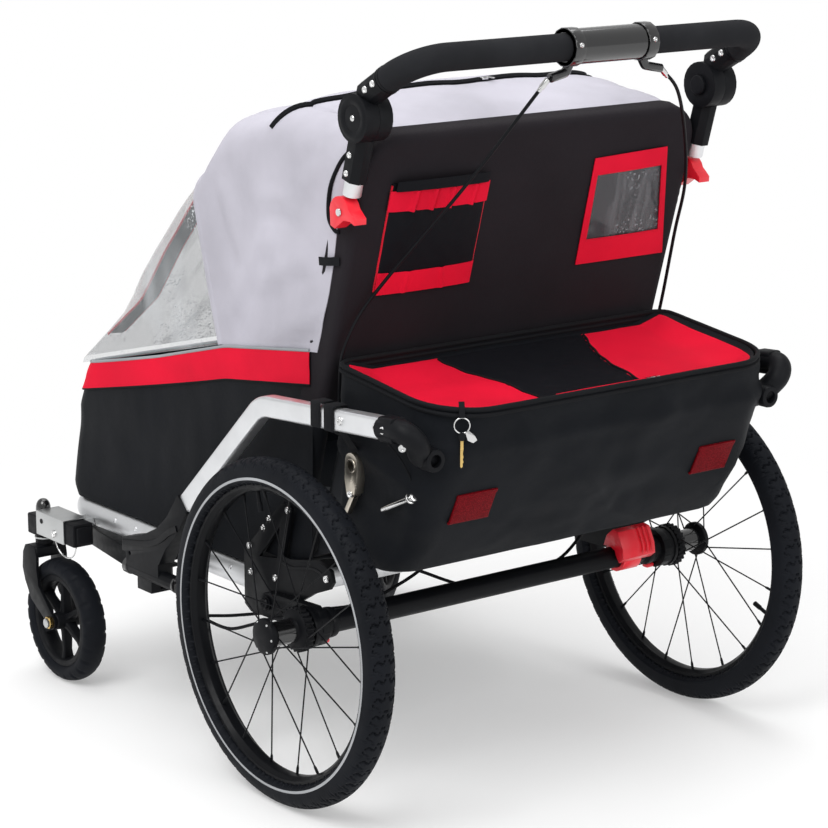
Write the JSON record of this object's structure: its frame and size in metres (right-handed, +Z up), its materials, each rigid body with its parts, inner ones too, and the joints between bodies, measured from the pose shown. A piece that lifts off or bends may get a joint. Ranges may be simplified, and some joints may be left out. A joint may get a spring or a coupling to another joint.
{
  "type": "child bike trailer",
  "caption": "Two-seat child bike trailer on spoked rear wheels and swivelling front casters, with a push handle, folding hoop, rear bag and suspended axle.",
  "frame": {"origin": "on the ground under the middle of the trailer's outline", "axes": "+Z up, +Y towards the front, +X towards the trailer's right side"},
  "size_m": [0.837, 1.0286, 1.0905],
  "materials": {
    "satin_alloy": "satin anodised",
    "zinc": "dull zinc plate",
    "bright_steel": "bright",
    "black_paint": "satin black",
    "black_plastic": "matt black",
    "gloss_black": "gloss black",
    "foam": "matt foam sleeve",
    "tyre_rubber": "matt rubber",
    "black_fabric": "woven black fabric",
    "red_fabric": "woven red fabric",
    "red_plastic": "smooth red plastic",
    "grey_fabric": "pale grey coated fabric",
    "clear_film": "clear flexible film",
    "seat_fabric": "dark grey seat fabric",
    "red_lens": "red reflector"
  },
  "bodies": {
    "frame": {"lower_frame": "satin_alloy", "side_bar_L": "satin_alloy", "side_bar_R": "satin_alloy", "frame_bracket_L": "black_paint", "frame_bracket_R": "black_paint", "suspension_plate_L": "black_paint", "suspension_plate_R": "black_paint", "rear_crossbar": "black_plastic", "tub": "black_fabric", "red_band": "red_fabric", "canopy": "grey_fabric", "window": "clear_film", "seat_cushion": "seat_fabric", "seat_back": "seat_fabric", "caster_clevis_L": "zinc", "caster_clevis_R": "zinc", "caster_housing_L": "black_plastic", "caster_housing_R": "black_plastic", "bag": "black_fabric", "reflector_L": "red_lens", "reflector_R": "red_lens", "coupler_strap": "black_fabric", "hitch_coupler": "zinc", "hitch_pin": "bright_steel", "key_ring": "bright_steel", "brake_cable_L": "black_plastic", "brake_cable_R": "black_plastic"},
    "axle": {"rear_axle": "black_paint"},
    "parking_lever": {"parking_lever": "red_plastic"},
    "release_button_L": {"release_button_L": "red_plastic"},
    "release_button_R": {"release_button_R": "red_plastic"},
    "wheel_L": {"tyre_L": "tyre_rubber", "rim_L": "black_paint", "hub_L": "black_plastic"},
    "wheel_R": {"tyre_R": "tyre_rubber", "rim_R": "black_paint", "hub_R": "black_plastic"},
    "caster_fork_L": {"caster_fork_L": "black_paint"},
    "caster_fork_R": {"caster_fork_R": "black_paint"},
    "caster_roller_L": {"caster_tyre_L": "tyre_rubber", "caster_wheel_L": "black_plastic"},
    "caster_roller_R": {"caster_tyre_R": "tyre_rubber", "caster_wheel_R": "black_plastic"},
    "hoop": {"rear_hoop": "satin_alloy", "back_panel": "black_fabric", "joint_lower_L": "black_plastic", "joint_lower_R": "black_plastic"},
    "bow": {"roof_bow": "satin_alloy"},
    "handle": {"handle_bar": "foam", "joint_upper_L": "black_plastic", "joint_upper_R": "black_plastic", "brake_body": "gloss_black"},
    "brake_grip": {"brake_grip": "gloss_black"},
    "joint_button_L": {"joint_button_L": "black_plastic"},
    "joint_button_R": {"joint_button_R": "black_plastic"},
    "latch_L": {"latch_lever_L": "red_plastic"},
    "latch_R": {"latch_lever_R": "red_plastic"},
    "bag_lid": {"bag_lid": "black_fabric"},
    "tow_arm": {"tow_arm": "black_paint"}
  },
  "joints": [
    {"name": "frame_fold", "type": "hinge", "parent": "frame", "child": "hoop", "pos_m": [0, -0.13635, 0.297], "axis": [-1, 0, 0], "range_deg": [0, 80], "deforming": ["canopy", "window", "seat_back", "brake_cable_L", "brake_cable_R"]},
    {"name": "bow_fold", "type": "hinge", "parent": "hoop", "child": "bow", "pos_m": [0, -0.21315, 0.56], "axis": [1, 0, 0], "range_deg": [0, 45]},
    {"name": "handle_tilt", "type": "hinge", "parent": "hoop", "child": "handle", "pos_m": [0, -0.34935, 0.98], "axis": [1, 0, 0], "range_deg": [-60, 70], "deforming": ["brake_cable_L", "brake_cable_R"]},
    {"name": "brake_twist", "type": "hinge", "parent": "handle", "child": "brake_grip", "pos_m": [0, -0.45435, 1.0645], "axis": [1, 0, 0], "range_deg": [0, 40], "stiffness_Nm_per_rad": 0.6},
    {"name": "button_press_L", "type": "slide", "parent": "handle", "child": "joint_button_L", "axis": [-1, 0, 0], "range_m": [0, 0.004], "stiffness_N_per_m": 800},
    {"name": "latch_swing_L", "type": "hinge", "parent": "hoop", "child": "latch_L", "pos_m": [-0.3145, -0.30485, 0.848], "axis": [1, 0, 0], "range_deg": [0, 60]},
    {"name": "button_press_R", "type": "slide", "parent": "handle", "child": "joint_button_R", "axis": [1, 0, 0], "range_m": [0, 0.004], "stiffness_N_per_m": 800},
    {"name": "latch_swing_R", "type": "hinge", "parent": "hoop", "child": "latch_R", "pos_m": [0.3145, -0.30485, 0.848], "axis": [1, 0, 0], "range_deg": [0, 60]},
    {"name": "suspension", "type": "hinge", "parent": "frame", "child": "axle", "pos_m": [0, -0.12935, 0.257], "axis": [1, 0, 0], "range_deg": [-4, 3], "stiffness_Nm_per_rad": 3000, "deforming": ["brake_cable_L", "brake_cable_R"]},
    {"name": "parking_brake", "type": "hinge", "parent": "axle", "child": "parking_lever", "pos_m": [0, -0.23935, 0.25], "axis": [1, 0, 0], "range_deg": [0, 35]},
    {"name": "wheel_release_L", "type": "slide", "parent": "axle", "child": "release_button_L", "axis": [1, 0, 0], "range_m": [0, 0.004], "stiffness_N_per_m": 500},
    {"name": "wheel_spin_L", "type": "hinge", "parent": "axle", "child": "wheel_L", "pos_m": [-0.383, -0.23935, 0.25], "axis": [1, 0, 0], "continuous": true},
    {"name": "caster_swivel_L", "type": "hinge", "parent": "frame", "child": "caster_fork_L", "pos_m": [-0.348, 0.47765, 0.2], "axis": [0, 0, 1], "continuous": true},
    {"name": "caster_roll_L", "type": "hinge", "parent": "caster_fork_L", "child": "caster_roller_L", "pos_m": [-0.348, 0.41465, 0.0997], "axis": [1, 0, 0], "continuous": true},
    {"name": "wheel_release_R", "type": "slide", "parent": "axle", "child": "release_button_R", "axis": [-1, 0, 0], "range_m": [0, 0.004], "stiffness_N_per_m": 500},
    {"name": "wheel_spin_R", "type": "hinge", "parent": "axle", "child": "wheel_R", "pos_m": [0.383, -0.23935, 0.25], "axis": [1, 0, 0], "continuous": true},
    {"name": "caster_swivel_R", "type": "hinge", "parent": "frame", "child": "caster_fork_R", "pos_m": [0.348, 0.47765, 0.2], "axis": [0, 0, 1], "continuous": true},
    {"name": "caster_roll_R", "type": "hinge", "parent": "caster_fork_R", "child": "caster_roller_R", "pos_m": [0.29974, 0.43715, 0.0997], "axis": [0.6428, -0.766, 0], "continuous": true},
    {"name": "tow_swing", "type": "hinge", "parent": "frame", "child": "tow_arm", "pos_m": [-0.32, 0.16565, 0.228], "axis": [0, 0, -1], "range_deg": [0, 40]},
    {"name": "bag_lid_lift", "type": "hinge", "parent": "frame", "child": "bag_lid", "pos_m": [0, -0.26935, 0.63], "axis": [-1, 0, 0], "range_deg": [0, 60]}
  ],
  "couplings": [
    {"joint": "bow_fold", "follows": "frame_fold", "ratio": 0.5625}
  ]
}
